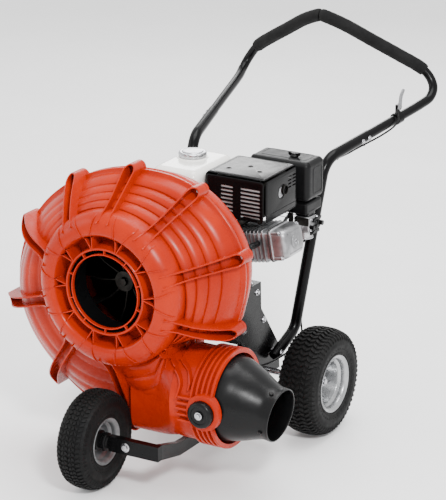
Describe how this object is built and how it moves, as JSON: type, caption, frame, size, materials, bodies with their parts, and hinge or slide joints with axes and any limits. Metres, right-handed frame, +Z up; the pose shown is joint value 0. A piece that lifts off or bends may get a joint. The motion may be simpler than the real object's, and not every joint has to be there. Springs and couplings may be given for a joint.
{
  "type": "walk behind leaf blower",
  "caption": "Three-wheeled walk-behind leaf blower: scroll fan housing with front intake and tilting side nozzle, petrol engine on a steel base, and a looped push handle with foam grips.",
  "frame": {"origin": "on the floor, under the middle of the whole object's bounding box", "axes": "+Z up; the intake faces -Y, the operator stands at +Y, and the nozzle blows towards +X"},
  "size_m": [0.9285, 1.6256, 1.1299],
  "materials": {
    "black_moulding": "satin moulded",
    "black_paint": "satin black paint",
    "cast_alloy": "as cast",
    "cleaner_black": "fine grain",
    "dark_steel": "plain welded sheet",
    "foam_grip": "soft closed-cell foam",
    "gasket": "matte",
    "lever_grey": "satin",
    "orange_moulding": "smooth moulded",
    "rim_grey": "grey paint",
    "rim_silver": "silver paint",
    "tank_white": "gloss off-white",
    "tyre_rubber": "moulded",
    "zinc_steel": "zinc plated"
  },
  "bodies": {
    "chassis": {"aim_cable": "black_moulding", "air_cleaner_base": "cleaner_black", "air_cleaner_cover": "cleaner_black", "air_filter": "foam_grip", "axle_nut_left": "zinc_steel", "axle_nut_right": "zinc_steel", "back_shell": "orange_moulding", "carburettor": "cast_alloy", "crankcase": "cast_alloy", "cylinder_block": "cast_alloy", "discharge_collar": "orange_moulding", "engine_base": "black_paint", "fan_shroud": "black_moulding", "foam_grip_left": "foam_grip", "foam_grip_right": "foam_grip", "front_arm": "black_paint", "front_arm_bolt": "zinc_steel", "front_axle": "zinc_steel", "front_axle_nut": "zinc_steel", "front_shell": "orange_moulding", "fuel_tank": "tank_white", "handle_bow": "black_paint", "handle_leg_left": "black_paint", "handle_leg_right": "black_paint", "inlet_ring": "orange_moulding", "lever_bracket": "black_paint", "muffler": "dark_steel", "muffler_guard": "black_paint", "oil_drain_plug": "zinc_steel", "rear_axle": "zinc_steel", "recoil_cover": "black_moulding", "spark_plug_boot": "black_moulding", "switch_box": "black_moulding", "valve_cover": "cast_alloy", "valve_cover_gasket": "gasket"},
    "nozzle_head": {"nozzle": "black_moulding", "nozzle_pivot_cap": "black_moulding", "nozzle_pivot_bolt": "zinc_steel", "nozzle_control_arm": "black_paint"},
    "aim_lever": {"aim_lever": "lever_grey"},
    "rear_wheel_left": {"rear_tyre_left": "tyre_rubber", "rear_rim_left": "rim_silver"},
    "rear_wheel_right": {"rear_tyre_right": "tyre_rubber", "rear_rim_right": "rim_silver"},
    "front_wheel": {"front_tyre": "tyre_rubber", "front_rim": "rim_grey", "front_hub": "black_moulding"},
    "rotor": {"impeller": "dark_steel", "impeller_bolt": "zinc_steel", "crankshaft": "zinc_steel", "flywheel": "cast_alloy"},
    "recoil_pulley": {"recoil_pulley": "lever_grey"},
    "recoil_grip": {"recoil_grip": "black_moulding"},
    "fuel_cap": {"fuel_cap": "zinc_steel"},
    "oil_filler_cap": {"oil_filler_cap": "lever_grey"},
    "air_cleaner_knob": {"air_cleaner_knob": "black_moulding"},
    "choke_lever": {"choke_lever": "black_moulding"},
    "throttle_lever": {"throttle_lever": "black_moulding"},
    "fuel_valve_lever": {"fuel_valve_lever": "black_moulding"},
    "engine_switch": {"engine_switch": "lever_grey"}
  },
  "joints": [
    {"name": "nozzle_tilt", "type": "hinge", "parent": "chassis", "child": "nozzle_head", "pos_m": [0.2828, -0.4758, 0.279], "axis": [0, 1, 0], "range_deg": [-20, 12]},
    {"name": "aim_lever_tilt", "type": "hinge", "parent": "chassis", "child": "aim_lever", "pos_m": [0.2697, 0.6042, 0.86973], "axis": [1, 0, 0], "range_deg": [-40, 24]},
    {"name": "rear_wheel_left_spin", "type": "hinge", "parent": "chassis", "child": "rear_wheel_left", "pos_m": [-0.3842, 0.0152, 0.165], "axis": [1, 0, 0], "continuous": true},
    {"name": "rear_wheel_right_spin", "type": "hinge", "parent": "chassis", "child": "rear_wheel_right", "pos_m": [0.3118, 0.0152, 0.165], "axis": [1, 0, 0], "continuous": true},
    {"name": "front_wheel_spin", "type": "hinge", "parent": "chassis", "child": "front_wheel", "pos_m": [-0.0512, -0.6658, 0.147], "axis": [1, 0, 0], "continuous": true},
    {"name": "crankshaft_spin", "type": "hinge", "parent": "chassis", "child": "rotor", "pos_m": [-0.0362, -0.2358, 0.585], "axis": [0, 1, 0], "continuous": true},
    {"name": "recoil_pulley_spin", "type": "hinge", "parent": "chassis", "child": "recoil_pulley", "pos_m": [-0.0362, 0.0892, 0.585], "axis": [0, 1, 0], "range_deg": [0, 420], "stiffness_Nm_per_rad": 0.06, "springref_deg": -85.94},
    {"name": "recoil_grip_pull", "type": "slide", "parent": "chassis", "child": "recoil_grip", "axis": [0, 1, 0], "range_m": [0, 0.42]},
    {"name": "fuel_cap_turn", "type": "hinge", "parent": "chassis", "child": "fuel_cap", "pos_m": [-0.0762, -0.0658, 0.84], "axis": [0, 0, 1], "range_deg": [0, 120]},
    {"name": "oil_filler_cap_turn", "type": "hinge", "parent": "chassis", "child": "oil_filler_cap", "pos_m": [-0.1646, -0.2158, 0.5], "axis": [1, 0, 0], "continuous": true},
    {"name": "air_cleaner_knob_turn", "type": "hinge", "parent": "chassis", "child": "air_cleaner_knob", "pos_m": [0.1788, 0.0987, 0.827], "axis": [0, 0, 1], "continuous": true},
    {"name": "choke_lever_swing", "type": "hinge", "parent": "chassis", "child": "choke_lever", "pos_m": [0.2522, 0.0862, 0.642], "axis": [1, 0, 0], "range_deg": [0, 55]},
    {"name": "fuel_valve_lever_swing", "type": "hinge", "parent": "chassis", "child": "fuel_valve_lever", "pos_m": [0.2522, 0.0862, 0.618], "axis": [1, 0, 0], "range_deg": [-55, 0]},
    {"name": "throttle_lever_swing", "type": "hinge", "parent": "chassis", "child": "throttle_lever", "pos_m": [0.0418, 0.0822, 0.696], "axis": [0, 0, 1], "range_deg": [0, 35]},
    {"name": "engine_switch_turn", "type": "hinge", "parent": "chassis", "child": "engine_switch", "pos_m": [-0.1986, -0.1433, 0.605], "axis": [1, 0, 0], "range_deg": [0, 60]}
  ],
  "couplings": [
    {"joint": "aim_lever_tilt", "follows": "nozzle_tilt", "ratio": 2},
    {"joint": "recoil_grip_pull", "follows": "recoil_pulley_spin", "m_per_rad": 0.057}
  ]
}
